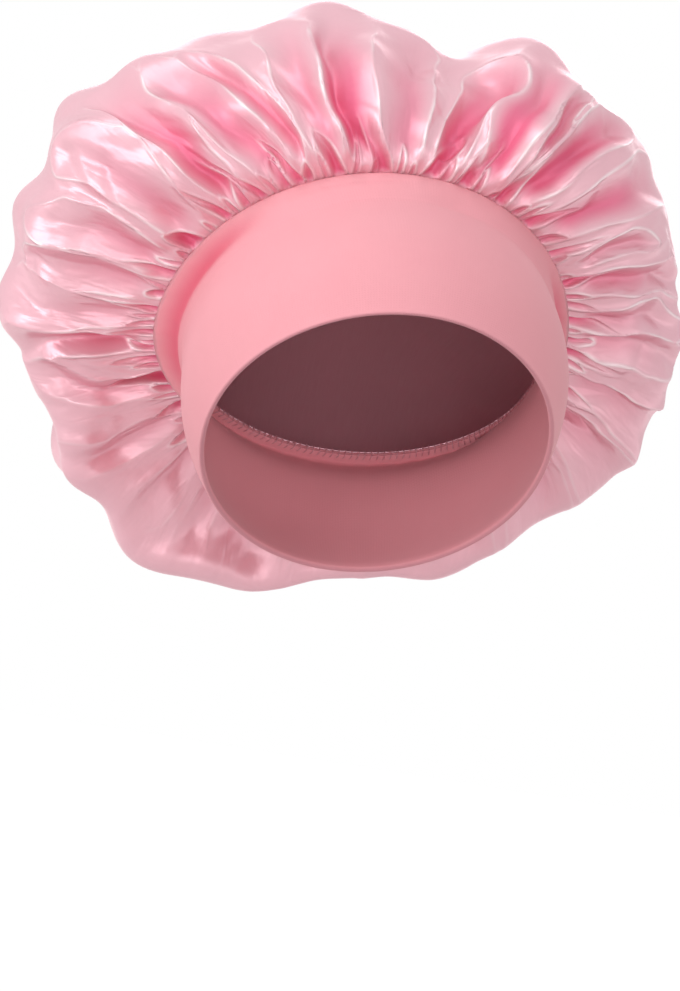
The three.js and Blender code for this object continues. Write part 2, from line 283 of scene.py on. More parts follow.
# Each row keeps its shares of painted shade, in the side valleys and along the fold at the opening.
def lay_row(points, valley=0, fold=0):
    strip_rows.append(points)
    valley_shade_rows.append(np.zeros(BAND_COLUMNS) + valley)
    fold_shade_rows.append(np.zeros(BAND_COLUMNS) + fold)


def band_row(s, depth):
    return band_layer(band_turn, np.full(BAND_COLUMNS, s), np.full(BAND_COLUMNS, depth))


def flange_row(inset, drop):
    ring = seam_ring(band_turn) - outward(band_turn) * inset
    return np.concatenate([ring, (seam_height(band_turn) - drop)[:, None]], -1)


lay_row(flange_row(SEAM_ALLOWANCE, inner_drop))
lay_row(flange_row(SEAM_ALLOWANCE / 2, inner_drop))
for s in inner_s[::-1]:
    lay_row(band_row(s, INNER_DEPTH))
# The rows round the fold carry its painted shade, darkest halfway round.
for angle in np.linspace(0, np.pi, 9)[1:-1]:
    row = band_row(FOLD_END, OUTER_DEPTH + fold_reach * (1 + math.cos(angle)))
    row[:, 2] -= fold_reach * math.sin(angle)
    lay_row(row, fold=FOLD_SHADE_SHARE * math.sin(angle) ** 2)
# The outer rows carry the side valleys' painted shade.
for s in outer_s:
    below = (1 - s) * seam_height(band_turn)
    lay_row(band_row(s, OUTER_DEPTH), valley=VALLEY_SHADE_SHARE * side_valley(band_turn, below))
lay_row(flange_row(EDGE_ROUND, outer_drop))
lay_row(flange_row(SEAM_ALLOWANCE / 2, outer_drop))
lay_row(flange_row(SEAM_ALLOWANCE, outer_drop))


def strip_mesh(name, points, **shares):
    """A strip of cloth closed into a ring, with its flat metres as UV and shares as point attributes."""
    rows, columns = points.shape[:2]
    index = np.arange(rows * columns).reshape(rows, columns)
    nxt = np.roll(index, -1, axis=1)
    quads = np.stack([index[:-1], nxt[:-1], nxt[1:], index[1:]], -1).reshape(-1, 4)
    mesh = bpy.data.meshes.new(name)
    mesh.from_pydata(points.reshape(-1, 3).tolist(), [], quads.tolist())
    across = np.concatenate([[0], np.cumsum(np.linalg.norm(np.diff(points, axis=0), axis=-1).mean(1))])
    around = np.linalg.norm(np.roll(points, -1, axis=1) - points, axis=-1).sum(1).mean() / columns
    flat = np.stack(np.meshgrid(np.arange(columns + 1) * around, across), -1)
    corners = np.stack([flat[:-1, :-1], flat[:-1, 1:], flat[1:, 1:], flat[1:, :-1]], 2)
    mesh.uv_layers.new(name="cloth").data.foreach_set("uv", corners.reshape(-1))
    mesh.polygons.foreach_set("use_smooth", np.ones(len(mesh.polygons), bool))
    for key, value in shares.items():
        mesh.attributes.new(key, "FLOAT", "POINT").data.foreach_set("value", np.concatenate(value))
    mesh.update()
    return mesh


band_mesh = strip_mesh("headband_knit", as_worn(np.stack(strip_rows)), valley=valley_shade_rows, fold=fold_shade_rows)
headband = add_piece("headband_knit", band_mesh, knit)
thickness = headband.modifiers.new("knit thickness", "SOLIDIFY")
thickness.thickness = KNIT_THICKNESS / 1000
thickness.offset = 0
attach(headband, "root")
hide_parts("headband")

# Band join: the strip's two short ends are sewn together at the nape before it is folded.
# A zigzag of spun polyester thread holds them, shut in the pocket between the band's two plies.
JOIN_STITCHES = 14
JOIN_START = 0.06
JOIN_END = 0.86
JOIN_SWING = 1.2
THREAD_DIAMETER = 0.5
THREAD_PINK = "#e59dab"
THREAD_PALE = "#f0b3be"
THREAD_TWIST = 0.0012
JOIN_RISE = 0.1

# Spun polyester thread: short fibres twisted together, so it is matt and faintly fuzzy, with slanting light
# and dark plies. The twist, really 0.4 mm long, is drawn three times as long so that it shows at all.
spun_thread = new_material("spun_polyester_thread")
thread_place = node(spun_thread, "ShaderNodeTexCoord", {})
thread_twist = node(spun_thread, "ShaderNodeTexWave", {
    "bands_direction": "DIAGONAL", "Distortion": 1.0, "Scale": WAVE_PERIOD / THREAD_TWIST,
}, {"Vector": thread_place.outputs["Object"]})
thread_colour = node(spun_thread, "ShaderNodeMix", {"data_type": "RGBA", 6: THREAD_PINK, 7: THREAD_PALE},
                     {0: thread_twist.outputs["Fac"]})
thread_shader = node(spun_thread, "ShaderNodeBsdfPrincipled", {"Roughness": 0.65, "Sheen Weight": 0.3},
                     {"Base Color": thread_colour.outputs[2]})
node(spun_thread, "ShaderNodeOutputMaterial", {}, {"Surface": thread_shader.outputs[0]})


def stitch_tree(name, sizes):
    """A node tree with named sizes that starts with the points it lays stitches on."""
    tree = bpy.data.node_groups.new(name, "GeometryNodeTree")
    tree.interface.new_socket("Points", in_out="INPUT", socket_type="NodeSocketGeometry")
    for size in sizes:
        tree.interface.new_socket(size, in_out="INPUT", socket_type="NodeSocketFloat")
    tree.interface.new_socket("Stitches", in_out="OUTPUT", socket_type="NodeSocketGeometry")
    return tree, node(tree, "NodeGroupInput", {})


def lay_stitches(tree, given, path):
    """Gives a stitch's path the thread's round section and lays it on each point, turned by run and rise."""
    radius = node(tree, "ShaderNodeMath", {"operation": "MULTIPLY", 1: 0.5},
                  {0: given.outputs["Thread Diameter"]})
    section = node(tree, "GeometryNodeCurvePrimitiveCircle", {"Resolution": 5}, {"Radius": radius.outputs[0]})
    stitch = node(tree, "GeometryNodeCurveToMesh", {"Fill Caps": True},
                  {"Curve": path, "Profile Curve": section.outputs["Curve"]})
    run = node(tree, "GeometryNodeInputNamedAttribute", {"data_type": "FLOAT_VECTOR", "Name": "run"})
    rise = node(tree, "GeometryNodeInputNamedAttribute", {"data_type": "FLOAT_VECTOR", "Name": "rise"})
    turned = node(tree, "FunctionNodeAxesToRotation", {"primary_axis": "X", "secondary_axis": "Z"},
                  {0: run.outputs["Attribute"], 1: rise.outputs["Attribute"]})
    laid = node(tree, "GeometryNodeInstanceOnPoints", {}, {
        "Points": given.outputs["Points"], "Instance": stitch.outputs["Mesh"], "Rotation": turned.outputs[0],
    })
    real = node(tree, "GeometryNodeRealizeInstances", {}, {"Geometry": laid.outputs["Instances"]})
    dyed = node(tree, "GeometryNodeSetMaterial", {"Material": spun_thread},
                {"Geometry": real.outputs["Geometry"]})
    node(tree, "NodeGroupOutput", {}, {"Stitches": dyed.outputs["Geometry"]})


def sew(name, tree, sizes, points, run, rise, *nodes):
    """Makes a row of stitches at points in upright cap millimetres and lets it stand for its CAD threads."""
    mesh = bpy.data.meshes.new(name)
    mesh.from_pydata(as_worn(points).tolist(), [], [])
    for key, direction in (("run", run), ("rise", rise)):
        direction = np.ascontiguousarray(as_worn(direction) * 1000, np.float32)
        mesh.attributes.new(key, "FLOAT_VECTOR", "POINT").data.foreach_set("vector", direction.reshape(-1))
    piece = add_piece(name, mesh)
    row = piece.modifiers.new("stitches", "NODES")
    row.node_group = tree
    for socket in tree.interface.items_tree:
        if socket.name in sizes:
            row[socket.identifier] = sizes[socket.name] / 1000
    sewn = bpy.data.meshes.new_from_object(piece.evaluated_get(bpy.context.evaluated_depsgraph_get()))
    piece.modifiers.clear()
    piece.data = sewn
    sewn.name = name
    sewn.polygons.foreach_set("use_smooth", np.ones(len(sewn.polygons), bool))
    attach(piece, "root")
    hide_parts(*nodes)
    return piece


plain_stitch, plain_sizes = stitch_tree("plain_stitch", ("Stitch Length", "Stitch Rise", "Thread Diameter"))
stitch_half, stitch_back = [
    node(plain_stitch, "ShaderNodeMath", {"operation": "MULTIPLY", 1: share},
         {0: plain_sizes.outputs["Stitch Length"]})
    for share in (0.5, -0.5)
]
stitch_start = node(plain_stitch, "ShaderNodeCombineXYZ", {}, {"X": stitch_back.outputs[0]})
stitch_top = node(plain_stitch, "ShaderNodeCombineXYZ", {}, {"Z": plain_sizes.outputs["Stitch Rise"]})
stitch_end = node(plain_stitch, "ShaderNodeCombineXYZ", {}, {"X": stitch_half.outputs[0]})
stitch_path = node(plain_stitch, "GeometryNodeCurveQuadraticBezier", {"Resolution": 5}, {
    "Start": stitch_start.outputs[0], "Middle": stitch_top.outputs[0], "End": stitch_end.outputs[0],
})
lay_stitches(plain_stitch, plain_sizes, stitch_path.outputs["Curve"])

join_legs = 2 * JOIN_STITCHES
join_level = np.linspace(JOIN_START, JOIN_END, join_legs + 1)
join_depth = np.full(join_legs + 1, KNIT_THICKNESS + POCKET_WIDTH / 2)
join_corners = band_layer(np.full(join_legs + 1, np.pi), join_level, join_depth)
join_corners[:, 0] += JOIN_SWING * np.where(np.arange(join_legs + 1) % 2, 1, -1)
join_run = np.diff(join_corners, axis=0)
join_length = np.linalg.norm(join_run, axis=-1).mean()
sew("band_join_stitches", plain_stitch,
    {"Stitch Length": join_length, "Stitch Rise": JOIN_RISE, "Thread Diameter": THREAD_DIAMETER},
    (join_corners[1:] + join_corners[:-1]) / 2, join_run, np.tile([0.0, 1.0, 0.0], (join_legs, 1)),
    "band_join_thread")

# Crown: one circle of polyester satin, gathered nearly three to one onto the band and puffed out.
# Short pleats leave the seam and run together into sharp crests with broad hollows of cloth between them.
# Its cut edge turns in over the band's two edges, where the seam holds all three.
CROWN_LEAN = math.radians(26)
CROWN_HALF_WIDTH = 154
CROWN_HALF_LENGTH = 135
CROWN_SETBACK = 31
CROWN_RISE = 111
CROWN_DOME = 80
DOME_FULLNESS = 0.8
SEAM_PUFF = 95
SEAM_LIFT = 0.9
CUT_RADIUS = 280
SATIN_THICKNESS = 0.3
SATIN_PINK = "#f0bcc7"
# The next two colours are painted light: a deeper pink painted as shade in the hollows, and a near white
# painted as a highlight line along the crests.
SATIN_HOLLOW_SHADE = "#eb7093"
SATIN_CREST_HIGHLIGHT = "#fdeef0"
SATIN_GLINT = "#f2d2d9"

# How finely the cloth is worked out.
FIELD_COLUMNS = 1440
FOLD_ZONE = 150
APEX_DISTANCE = 256
STATIONS = 120
LAST_STATION = 1.97
COLUMNS = 740
BACK_COARSER = 1.1

# Hollows and pleats: factors on their depth and width, the length of their ends, and the crests round them.
FLAT_CLOTH = -40.0
HOLLOW_DEPTH = 1.4
HOLLOW_WIDTH = 1.15
HOLLOW_END = 18
HOLLOW_OPENING = 0.4
WALL_ROUND = 0.25
CREST_LIP = 1.9
CREST_SPREAD = 3.5
SMALL_HOLLOWS = 60
SMALL_END = 12
SMALL_LIP = 0.8
SMALL_SPREAD = 1.5
PLEATS = 96
PLEAT_END = 0.9
PLEAT_LIP = 0.9
WIDER_BEHIND = 0.6

# How the swells and folds soften, wander, lean and fade.
SWELL_SOFTNESS = math.radians(3)
SWELL_DRIFT_END = 1.3
SOFT_SWELL = 1.1
CREST_RADIUS = 0.35
CREST_SOFTENING = 0.004
DRIFT_SOFTNESS = math.radians(12)
WANDER = 0.8
WANDER_ALONG = 4
WANDER_WAVES = 10
LEANS = 18
LEAN = 0.4
RIM_AT_NAPE = 62
RIM_GROWTH = 19
RIM_FADE = 0.75
FOLD_SEED = 7
WANDER_SEED = 11

# Where the satin's painted light goes: the painted highlight line on a crest, and at what depth and how far
# out a hollow takes its painted shade of deeper pink.
CREST_HIGHLIGHT_WIDTH = 1.4
LINE_REACH = 8
GENTLEST_SLOPE = 0.12
MEETING_DEPTH = 0.4
HOLLOW_RIM = 1.4
FULL_SHADE_AT = 7
PLEAT_FULL_SHADE_AT = 4
SHADE_REACH = 60
SHADE_REACH_FRONT = 44
UPPER_RIGHT = math.radians(27)

# The crown's swells: seam angle, angle at the widest ring, half width in degrees, rise in millimetres.
SWELLS = (
    (352, 355, 7, -3), (2, 5, 10, -12), (9, 11, 6, -5), (20, 19, 13, 14), (30, 33, 9, 10), (38, 43, 10, 8),
    (50, 55, 8, 4), (60, 76, 9, -5), (92, 95, 6, 3), (100, 115, 12, 6), (124, 130, 12, -3), (152, 154, 12, 5),
    (182, 186, 15, 14), (206, 204, 15, 22), (224, 223, 10, 15), (238, 238, 7, -2), (250, 246, 6, -3),
    (260, 257, 10, 11), (286, 277, 10, 11), (299, 296, 13, 16), (313, 311, 9, 10), (326, 322, 7, 5),
    (341, 343, 13, 7),
)
# Hollows between the main folds: depth and half width in millimetres, then the way out from the seam
# as pairs of a distance in millimetres and an angle in degrees.
HOLLOWS = (
    (4, 12, ((8, 296), (50, 297), (82, 291))), (6, 10, ((12, 309), (44, 307), (64, 306), (98, 302))),
    (5, 12, ((8, 322), (26, 319), (50, 317), (90, 313))),
    (5, 7, ((22, 329), (46, 326), (75, 321), (92, 318))),
    (4, 9, ((10, 336), (44, 335), (100, 336))), (9, 11, ((4, 343), (28, 341), (60, 342), (114, 344))),
    (4, 14, ((6, 354), (30, 355), (66, 358), (100, 360))), (6, 9, ((6, 2), (30, 5), (56, 9), (84, 12))),
    (6, 9, ((6, 14), (26, 14), (70, 18), (102, 20))), (4, 4, ((34, 22), (72, 26), (86, 28))),
    (6, 9, ((6, 25), (18, 27), (30, 28), (76, 35), (90, 36))),
    (4, 12, ((6, 38), (30, 42), (60, 46), (92, 52))),
    (3, 6, ((18, 52), (36, 53), (52, 56))), (5, 8, ((4, 58), (20, 60), (56, 66), (84, 71))),
    (4, 8, ((4, 69), (34, 72), (70, 79))), (5, 9, ((4, 76), (30, 79), (68, 86))),
    (4, 11, ((4, 87), (40, 95), (84, 104))), (4, 14, ((4, 101), (50, 112), (84, 118))),
    (4, 15, ((4, 119), (60, 131), (80, 134))), (4, 15, ((4, 138), (60, 146), (80, 148))),
    (4, 15, ((4, 157), (60, 161), (80, 162))), (4, 15, ((4, 174), (60, 175), (80, 175))),
    (4, 15, ((4, 190), (60, 189), (80, 188))), (2.5, 9, ((4, 201), (50, 199), (84, 198))),
    (2.5, 8, ((4, 211), (40, 210), (70, 211))), (3, 8, ((4, 222), (40, 223), (74, 229))),
    (4, 9, ((4, 236), (30, 238), (50, 245), (74, 249))), (7, 9, ((2, 253), (32, 253), (84, 249))),
    (3, 11, ((8, 266), (40, 263), (84, 262))), (4, 9, ((4, 276), (30, 275), (64, 271))),
    (5, 10, ((8, 284), (40, 284), (72, 279))),
)
# Soft creases where slack cloth sags over the dome: both ends as millimetres across and forward of its
# middle, then half width and rise.
DOME_CREASES = (
    ((-122, 48), (-34, 14), 13, 3.5), ((112, 66), (22, 38), 13, 3), ((-66, -92), (-12, -24), 12, -3.5),
    ((62, -96), (36, -18), 12, 3), ((-112, -38), (-42, -26), 12, 3), ((126, -22), (46, -6), 13, -3),
    ((4, 112), (-10, 44), 14, 3), ((-84, 84), (-52, 34), 11, -2.5), ((96, -66), (58, -30), 10, 2.5),
)

field_degrees = np.arange(FIELD_COLUMNS) * 360 / FIELD_COLUMNS
field_turn = np.radians(field_degrees)
from_seam = np.concatenate([np.linspace(0, FOLD_ZONE, 201), np.linspace(FOLD_ZONE + 6, APEX_DISTANCE, 20)])
crown_axis = np.array([0, math.sin(CROWN_LEAN), math.cos(CROWN_LEAN)])
crown_middle = np.array([0, CROWN_SETBACK, CROWN_RISE])
rng = np.random.default_rng(FOLD_SEED)


def angle_from(line):
    return (field_degrees - line + 180) % 360 - 180


def softened(ring, spread):
    """Values round the crown, blurred by a spread in radians."""
    waves = np.fft.rfft(ring)
    return np.fft.irfft(waves * np.exp(-(np.arange(len(waves)) * spread) ** 2 / 2), FIELD_COLUMNS)


def swell_rise(t):
    rise = np.zeros(FIELD_COLUMNS)
    for seam_at, wide_at, half, height in SWELLS:
        off = angle_from(seam_at + (wide_at - seam_at) * min(max(t, 0), SWELL_DRIFT_END))
        rise += np.where(np.abs(off) < half, height * np.cos(np.pi / 2 * off / half) ** 2, 0)
    return softened(rise, SWELL_SOFTNESS) * ease(t, 0, 0.5) * (1 - ease(t, 1.15, 1.9))


def crown_ring(t):
    """One ring of the smooth crown: 0 is the seam, 1 the widest ring and 2 the apex."""
    out = np.concatenate([outward(field_turn), np.zeros((FIELD_COLUMNS, 1))], -1)
    across = CROWN_HALF_WIDTH * np.sin(field_turn)
    forward = CROWN_HALF_LENGTH * np.cos(field_turn)
    wide = np.stack([across, -forward * crown_axis[2], forward * crown_axis[1]], -1) + crown_middle
    if t <= 1:
        seam = np.concatenate([seam_ring(field_turn), (seam_height(field_turn) + SEAM_LIFT)[:, None]], -1)
        p = seam * (2 * t ** 3 - 3 * t ** 2 + 1) + wide * (3 * t ** 2 - 2 * t ** 3)
        p = p + out * SEAM_PUFF * (t ** 3 - 2 * t ** 2 + t) + crown_axis * SEAM_PUFF * (t ** 3 - t ** 2)
    else:
        arc = (t - 1) * np.pi / 2
        k = max(math.cos(arc), 0) ** DOME_FULLNESS
        p = wide * k + crown_middle * (1 - k) + crown_axis * CROWN_DOME * math.sin(arc)
    away = p - crown_middle
    away = away / np.linalg.norm(away, axis=-1, keepdims=True)
    return p + away * swell_rise(t)[:, None]


stations = np.stack([crown_ring(t) for t in np.linspace(0, LAST_STATION, STATIONS)])
lengths = np.zeros((STATIONS, FIELD_COLUMNS))
lengths[1:] = np.cumsum(np.linalg.norm(np.diff(stations, axis=0), axis=-1), axis=0)
smooth_crown = np.empty((len(from_seam), FIELD_COLUMNS, 3))
for column in range(FIELD_COLUMNS):
    places = from_seam / from_seam[-1] * lengths[-1, column]
    for axis in range(3):
        smooth_crown[:, column, axis] = np.interp(places, lengths[:, column], stations[:, column, axis])
degree_length = np.linalg.norm(np.roll(smooth_crown, -1, axis=1) - smooth_crown, axis=-1).sum(1) / 360
wander_rng = np.random.default_rng(WANDER_SEED)


def wander(size):
    """A smooth random drift in millimetres that dies away at the seam and the apex."""
    drift = np.zeros((len(from_seam), FIELD_COLUMNS))
    for _ in range(WANDER_WAVES):
        waves = wander_rng.integers(5, 20)
        pitch = wander_rng.uniform(30, 80) * wander_rng.choice([-1, 1])
        start = wander_rng.uniform(0, 6)
        drift += np.sin(waves * field_turn + from_seam[:, None] * 2 * np.pi / pitch + start)
    reach = ease(from_seam, 4, 34) * (1 - ease(from_seam, 120, 200))
    return drift * size / math.sqrt(WANDER_WAVES / 2) * reach[:, None]


wander_across = wander(WANDER)
wander_along = wander(WANDER * WANDER_ALONG)


def hollow(depth, half, way, end_length, skew=0, spread=0, tip=2):
    """How far one hollow presses into the cloth, with round ends; below nought outside its rim."""
    first, last = way[0][0], way[-1][0]
    line = np.interp(from_seam, [p[0] for p in way], [p[1] for p in way])
    off = angle_from(line[:, None]) * degree_length[:, None] + wander_across
    along = from_seam[:, None] + wander_along
    opening = 1 + spread * (2 * np.clip((along - first) / (last - first), 0, 1.1) - 1)
    off = off / (half * opening * np.where(off > 0, 1 + skew, 1 - skew))
    wall = (np.sqrt(off ** 2 + WALL_ROUND ** 2) - WALL_ROUND) / (math.hypot(1, WALL_ROUND) - WALL_ROUND)
    past = np.maximum(0, np.maximum(first - along, along - last + end_length)) / end_length
    return depth * (1 - wall - past ** tip)


def crested(shape, lip, spread):
    """Hollows pressed in, with a sharp crest round each rim that sinks away outside it."""
    return lip * np.exp(np.minimum(shape, 0) / spread) - np.maximum(shape, 0)


def blurred(field, spread):
    """A field softened sideways by a spread in millimetres for each row, and a little along the rows."""
    waves = np.arange(FIELD_COLUMNS // 2 + 1)
    share = np.exp(-(waves[None, :] * (spread / (degree_length * 180 / np.pi))[:, None]) ** 2 / 2)
    soft = np.fft.irfft(np.fft.rfft(field, axis=1) * share, FIELD_COLUMNS, axis=1)
    for _ in range(3):
        soft[1:-1] = (soft[:-2] + 2 * soft[1:-1] + soft[2:]) / 4
    return soft


# The main hollows take turns in two layers, so that the ridge where neighbours meet can be found.
main_pair = np.full((2, len(from_seam), FIELD_COLUMNS), FLAT_CLOTH)
for turn, (depth, half, way) in enumerate(HOLLOWS):
    skew = rng.uniform(-0.5, 0.5)
    tip = wander_rng.uniform(1.1, 1.9)
    pressed = hollow(depth * HOLLOW_DEPTH, half * HOLLOW_WIDTH, way, HOLLOW_END, skew, HOLLOW_OPENING, tip)
    main_pair[turn % 2] = np.maximum(main_pair[turn % 2], pressed)
main = main_pair.max(0)
small = np.full_like(main, FLAT_CLOTH)
for _ in range(SMALL_HOLLOWS):
    angle = rng.uniform(0, 360)
    start = rng.uniform(6, 70)
    length = rng.uniform(14, 40)
    tilt = rng.uniform(-14, 14)
    depth = rng.uniform(0.6, 1.8)
    half = rng.uniform(4, 9)
    way = ((start, angle), (start + length, angle + tilt))
    small = np.maximum(small, hollow(depth, half, way, SMALL_END))
# How many degrees the folds drift sideways in each millimetre from the seam.
starts = np.array([way[0][1] for _, _, way in HOLLOWS])
slopes = np.array([(way[-1][1] - way[0][1]) / (way[-1][0] - way[0][0]) for _, _, way in HOLLOWS])
fold_drift = softened(np.interp(field_degrees, starts, slopes, period=360), DRIFT_SOFTNESS)
# Every third pleat at the seam is a long one, and all of them follow that drift.
pleat_pair = np.full_like(main_pair, FLAT_CLOTH)
pleat_angles = (np.arange(PLEATS) + rng.uniform(-0.45, 0.45, PLEATS)) * 360 / PLEATS
for turn, angle in enumerate(pleat_angles):
    swirl = np.interp(angle % 360, field_degrees, fold_drift)
    long_one = turn % 3 == 0
    reach = rng.uniform(14, 36) if long_one else rng.uniform(5, 14)
    drift = rng.uniform(-0.15, 0.15)
    way = ((0, angle), (reach, angle + (swirl + drift) * reach))
    half = rng.uniform(2.4, 4.6) if long_one else rng.uniform(1.3, 2.8)
    half *= 1 + WIDER_BEHIND * ease(abs((angle + 180) % 360 - 180), 100, 160)
    depth = rng.uniform(1.1, 1.7) * half
    skew = rng.uniform(-0.4, 0.4)
    pressed = hollow(depth, half, way, reach * PLEAT_END, skew)
    pleat_pair[turn % 2] = np.maximum(pleat_pair[turn % 2], pressed)
pleat = pleat_pair.max(0)
clear_of_seam = ease(from_seam, 2, 16)[:, None]
lift = crested(main, CREST_LIP, CREST_SPREAD) * clear_of_seam
lift += crested(small, SMALL_LIP, SMALL_SPREAD) * clear_of_seam
# The folds fade towards the rim, the widest line of the crown, and end a little past it.
rim_share = from_seam[:, None] / (RIM_AT_NAPE + RIM_GROWTH * (1 + np.cos(field_turn)))[None, :]
lift *= 1 - RIM_FADE * ease(rim_share, 0.70, 1.0) - (1 - RIM_FADE) * ease(rim_share, 1.0, 1.2)
lift += wander(SOFT_SWELL)
dome_forward = (smooth_crown - crown_middle) @ np.array([0, -crown_axis[2], crown_axis[1]])
dome_place = np.stack([smooth_crown[..., 0], dome_forward], -1)
for start, end, half, rise in DOME_CREASES:
    run = np.subtract(end, start)
    share = np.clip((dome_place - start) @ run / (run @ run), 0, 1)
    away = np.linalg.norm(dome_place - start - share[..., None] * run, axis=-1)
    crease = rise * (1 - 0.5 * share) * np.exp(-(away / (half * (1 + 0.6 * share))) ** 2)
    lift += crease * ease(rim_share, 1.1, 1.5)
lift += crested(pleat, PLEAT_LIP, SMALL_SPREAD) * (0.6 + 0.4 * ease(from_seam, 0, 5))[:, None]
lift = blurred(lift, CREST_RADIUS + CREST_SOFTENING * from_seam)

lean = np.append(rng.uniform(-LEAN, LEAN, LEANS), 0)
lean = np.interp(field_degrees, np.linspace(0, 360, LEANS + 1), lean)
sideways = np.roll(smooth_crown, -1, axis=1) - np.roll(smooth_crown, 1, axis=1)
sideways /= np.linalg.norm(sideways, axis=-1, keepdims=True)
normals = np.cross(sideways, np.gradient(smooth_crown, axis=0))
normals /= np.linalg.norm(normals, axis=-1, keepdims=True)
draped = smooth_crown + normals * lift[..., None] + sideways * (lift * lean)[..., None]

column_step = (degree_length * 360 / FIELD_COLUMNS)[:, None]


def line_distance(shape):
    """Signed millimetres from the line where a shape is nought."""
    across = (np.roll(shape, -1, axis=1) - np.roll(shape, 1, axis=1)) / (2 * column_step)
    along = np.gradient(shape, from_seam, axis=0)
    return np.clip(shape / np.maximum(np.hypot(across, along), GENTLEST_SLOPE), -LINE_REACH, LINE_REACH)


# Shares that the satin's colour follows: the painted highlight lines of the crests, how far out they reach,
# and the painted shade of the hollows.
shares = {}
for kind, shape, pair in (("main", main, main_pair), ("pleat", pleat, pleat_pair)):
    shares[kind + "_rim"] = line_distance(shape)
    shares[kind + "_ridge"] = line_distance(pair[0] - pair[1])
    shares[kind + "_both"] = np.clip(pair.min(0) / MEETING_DEPTH, 0, 1)
# The painted highlight lines grow weaker towards the back, away from the lamps.
highlight_weaker_behind = 0.25 + 0.75 * ease(np.cos(field_turn), -0.6, 0.1)
shares["main_crest"] = ease(from_seam, 6, 16)[:, None] * (1 - ease(rim_share, 0.72, 1.0)) * highlight_weaker_behind
shares["pleat_crest"] = np.tile((1 - ease(from_seam, 14, 30))[:, None], FIELD_COLUMNS)
# The hollows' painted shade is stronger at the front and stronger still at the upper right, as the light
# falls there.
at_front = ease(np.cos(field_turn), 0.2, 0.7)
upper_right = ease(np.cos(field_turn - UPPER_RIGHT), 0.90, 0.98)
shade_deepening = 0.55 + 0.45 * at_front + 0.6 * upper_right
main_shade = np.clip((main - HOLLOW_RIM) / FULL_SHADE_AT * shade_deepening, 0, 1)
hollow_shade = main_shade * clear_of_seam + np.clip(pleat / PLEAT_FULL_SHADE_AT, 0, 1) * (1 - clear_of_seam)
hollow_shade_reach = SHADE_REACH + SHADE_REACH_FRONT * at_front
shares["hollow"] = hollow_shade * (1 - ease(from_seam[:, None] / hollow_shade_reach, 0.3, 1))

# Polyester satin: long floats of bright filament lie one way, so it is smooth and its soft highlights are
# drawn out in one direction. Reflections take the dye's pink. Hollows are painted a deeper pink as shade, and
# crests carry a painted pale highlight line.
# The floats, about 0.2 mm wide, are drawn four times as coarse so that a trace of them shows.
FLOAT_WIDTH = 0.0008
FLOAT_LENGTH = 0.012
PATCH_SIZE = 0.0222
CRUMPLE_SIZE = 0.0143
WRINKLES_ROUND = 110
WRINKLE_LENGTH = 0.03
REVERSE_PINK = "#e3a5b2"
REVERSE_PALE = "#eab0bc"


def float_streaks(material):
    """The cloth's flat map, and a noise on it drawn out along the floats."""
    flat = node(material, "ShaderNodeUVMap", {"uv_map": "cloth"})
    floats = node(material, "ShaderNodeMapping", {"Scale": (1 / FLOAT_WIDTH, 1 / FLOAT_LENGTH, 1)},
                  {"Vector": flat.outputs[0]})
    streak = node(material, "ShaderNodeTexNoise", {"Scale": 1.0, "Detail": 1.0},
                  {"Vector": floats.outputs[0]})
    return flat, streak


satin = new_material("polyester_satin")
satin_flat, satin_streak = float_streaks(satin)
satin_way = node(satin, "ShaderNodeTangent", {"direction_type": "UV_MAP", "uv_map": "cloth"})
satin_gloss = node(satin, "ShaderNodeMapRange", {"To Min": 0.27, "To Max": 0.37},
                   {"Value": satin_streak.outputs["Fac"]})
satin_patchy = node(satin, "ShaderNodeTexNoise", {"Scale": 1 / PATCH_SIZE, "Detail": 1.0},
                    {"Vector": satin_flat.outputs[0]})
satin_highlight_strength = node(satin, "ShaderNodeMapRange", {
    "From Min": 0.40, "From Max": 0.62, "To Min": 0.05, "To Max": 0.75,
}, {"Value": satin_patchy.outputs["Fac"]})


def crest_lines(kind):
    """The share of a crest's painted highlight line, along each hollow's rim and where two hollows meet; it
    also raises the crest's bump.
    """
    lines = []
    for line in ("_rim", "_ridge"):
        place = node(satin, "ShaderNodeAttribute", {"attribute_name": kind + line})
        away = node(satin, "ShaderNodeMath", {"operation": "ABSOLUTE"}, {0: place.outputs["Fac"]})
        lines.append(node(satin, "ShaderNodeMapRange", {
            "interpolation_type": "SMOOTHSTEP", "From Min": 0.0, "From Max": CREST_HIGHLIGHT_WIDTH,
            "To Min": 1.0, "To Max": 0.0,
        }, {"Value": away.outputs[0]}))
    both = node(satin, "ShaderNodeAttribute", {"attribute_name": kind + "_both"})
    meet = node(satin, "ShaderNodeMath", {"operation": "MULTIPLY"},
                {0: lines[1].outputs[0], 1: both.outputs["Fac"]})
    line = node(satin, "ShaderNodeMath", {"operation": "MAXIMUM"},
                {0: lines[0].outputs[0], 1: meet.outputs[0]})
    reach = node(satin, "ShaderNodeAttribute", {"attribute_name": kind + "_crest"})
    return node(satin, "ShaderNodeMath", {"operation": "MULTIPLY"},
                {0: line.outputs[0], 1: reach.outputs["Fac"]})


